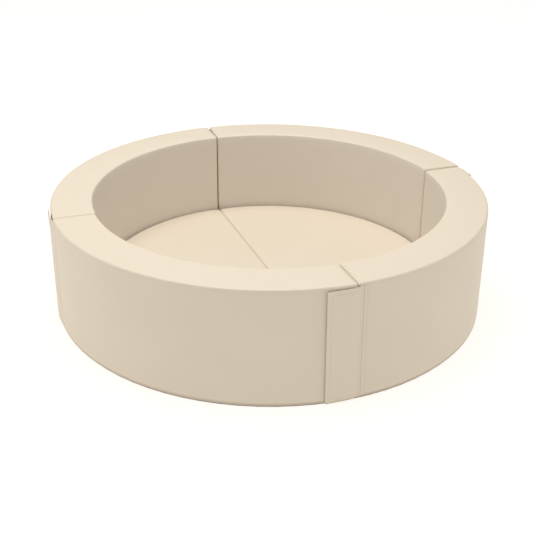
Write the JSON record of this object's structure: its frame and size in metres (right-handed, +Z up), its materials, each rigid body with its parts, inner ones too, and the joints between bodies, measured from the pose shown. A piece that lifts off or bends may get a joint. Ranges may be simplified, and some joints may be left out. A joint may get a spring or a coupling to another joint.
{
  "type": "ball pit",
  "caption": "Round foam ball pit: quarter wall segments joined by hook-and-loop flaps round a thick folding floor mat, all in plain cream vinyl.",
  "frame": {"origin": "centre of the ring on the floor", "axes": "+Z up; the floor mat's seam runs along Y; the joints between wall segments lie on the X and Y axes"},
  "size_m": [1.4618, 1.4618, 0.381],
  "materials": {
    "vinyl": "smooth semi-matt faux leather",
    "foam": "open-cell foam",
    "base": "dotted non-slip",
    "tape": "woven zip tape with coil",
    "loop_tape": "soft loop pile",
    "hook_tape": "stiff hook tape",
    "slider_metal": "satin"
  },
  "bodies": {
    "mat_left": {"mat_left_foam_core": "foam", "mat_left_cover": "vinyl", "mat_left_base_panel": "base", "mat_left_zip": "tape", "mat_hinge_seam": "vinyl"},
    "mat_right": {"mat_right_foam_core": "foam", "mat_right_cover": "vinyl", "mat_right_base_panel": "base", "mat_right_zip": "tape"},
    "mat_left_slider": {"mat_left_zip_slider": "slider_metal"},
    "mat_right_slider": {"mat_right_zip_slider": "slider_metal"},
    "back_right_segment": {"back_right_foam_core": "foam", "back_right_cover": "vinyl", "back_right_base_panel": "base", "back_right_zip": "tape", "back_right_loop_strip": "loop_tape", "back_right_flap_seam": "vinyl"},
    "back_right_closure": {"back_right_flap": "vinyl", "back_right_hook_strip": "hook_tape"},
    "back_right_slider": {"back_right_zip_slider": "slider_metal"},
    "back_left_segment": {"back_left_foam_core": "foam", "back_left_cover": "vinyl", "back_left_base_panel": "base", "back_left_zip": "tape", "back_left_loop_strip": "loop_tape", "back_left_flap_seam": "vinyl"},
    "back_left_closure": {"back_left_flap": "vinyl", "back_left_hook_strip": "hook_tape"},
    "back_left_slider": {"back_left_zip_slider": "slider_metal"},
    "front_left_segment": {"front_left_foam_core": "foam", "front_left_cover": "vinyl", "front_left_base_panel": "base", "front_left_zip": "tape", "front_left_loop_strip": "loop_tape", "front_left_flap_seam": "vinyl"},
    "front_left_closure": {"front_left_flap": "vinyl", "front_left_hook_strip": "hook_tape"},
    "front_left_slider": {"front_left_zip_slider": "slider_metal"},
    "front_right_segment": {"front_right_foam_core": "foam", "front_right_cover": "vinyl", "front_right_base_panel": "base", "front_right_zip": "tape", "front_right_loop_strip": "loop_tape", "front_right_flap_seam": "vinyl"},
    "front_right_closure": {"front_right_flap": "vinyl", "front_right_hook_strip": "hook_tape"},
    "front_right_slider": {"front_right_zip_slider": "slider_metal"}
  },
  "joints": [
    {"name": "mat_fold", "type": "hinge", "parent": "mat_left", "child": "mat_right", "pos_m": [0, 0, 0.0905], "axis": [0, -1, 0], "range_deg": [0, 180]},
    {"name": "mat_left_zip_travel", "type": "slide", "parent": "mat_left", "child": "mat_left_slider", "axis": [0, -1, 0], "range_m": [0, 0.767]},
    {"name": "mat_right_zip_travel", "type": "slide", "parent": "mat_right", "child": "mat_right_slider", "axis": [0, 1, 0], "range_m": [0, 0.767]},
    {"name": "back_right_lift_away", "type": "slide", "parent": "mat_left", "child": "back_right_segment", "axis": [0, 0, 1], "range_m": [0, 0.45]},
    {"name": "back_right_flap_peel", "type": "hinge", "parent": "back_right_segment", "child": "back_right_closure", "pos_m": [0.72819, 0.01808, 0.187], "axis": [0, 0, 1], "range_deg": [0, 180]},
    {"name": "back_right_zip_travel", "type": "hinge", "parent": "back_right_segment", "child": "back_right_slider", "pos_m": [0, 0, 0], "axis": [0, 0, 1], "range_deg": [0, 70]},
    {"name": "back_left_lift_away", "type": "slide", "parent": "mat_left", "child": "back_left_segment", "axis": [0, 0, 1], "range_m": [0, 0.45]},
    {"name": "back_left_flap_peel", "type": "hinge", "parent": "back_left_segment", "child": "back_left_closure", "pos_m": [-0.01808, 0.72819, 0.187], "axis": [0, 0, 1], "range_deg": [0, 180]},
    {"name": "back_left_zip_travel", "type": "hinge", "parent": "back_left_segment", "child": "back_left_slider", "pos_m": [0, 0, 0], "axis": [0, 0, 1], "range_deg": [0, 70]},
    {"name": "front_left_lift_away", "type": "slide", "parent": "mat_left", "child": "front_left_segment", "axis": [0, 0, 1], "range_m": [0, 0.45]},
    {"name": "front_left_flap_peel", "type": "hinge", "parent": "front_left_segment", "child": "front_left_closure", "pos_m": [-0.72819, -0.01808, 0.187], "axis": [0, 0, 1], "range_deg": [0, 180]},
    {"name": "front_left_zip_travel", "type": "hinge", "parent": "front_left_segment", "child": "front_left_slider", "pos_m": [0, 0, 0], "axis": [0, 0, 1], "range_deg": [0, 70]},
    {"name": "front_right_lift_away", "type": "slide", "parent": "mat_left", "child": "front_right_segment", "axis": [0, 0, 1], "range_m": [0, 0.45]},
    {"name": "front_right_flap_peel", "type": "hinge", "parent": "front_right_segment", "child": "front_right_closure", "pos_m": [0.01808, -0.72819, 0.187], "axis": [0, 0, 1], "range_deg": [0, 180]},
    {"name": "front_right_zip_travel", "type": "hinge", "parent": "front_right_segment", "child": "front_right_slider", "pos_m": [0, 0, 0], "axis": [0, 0, 1], "range_deg": [0, 70]}
  ]
}
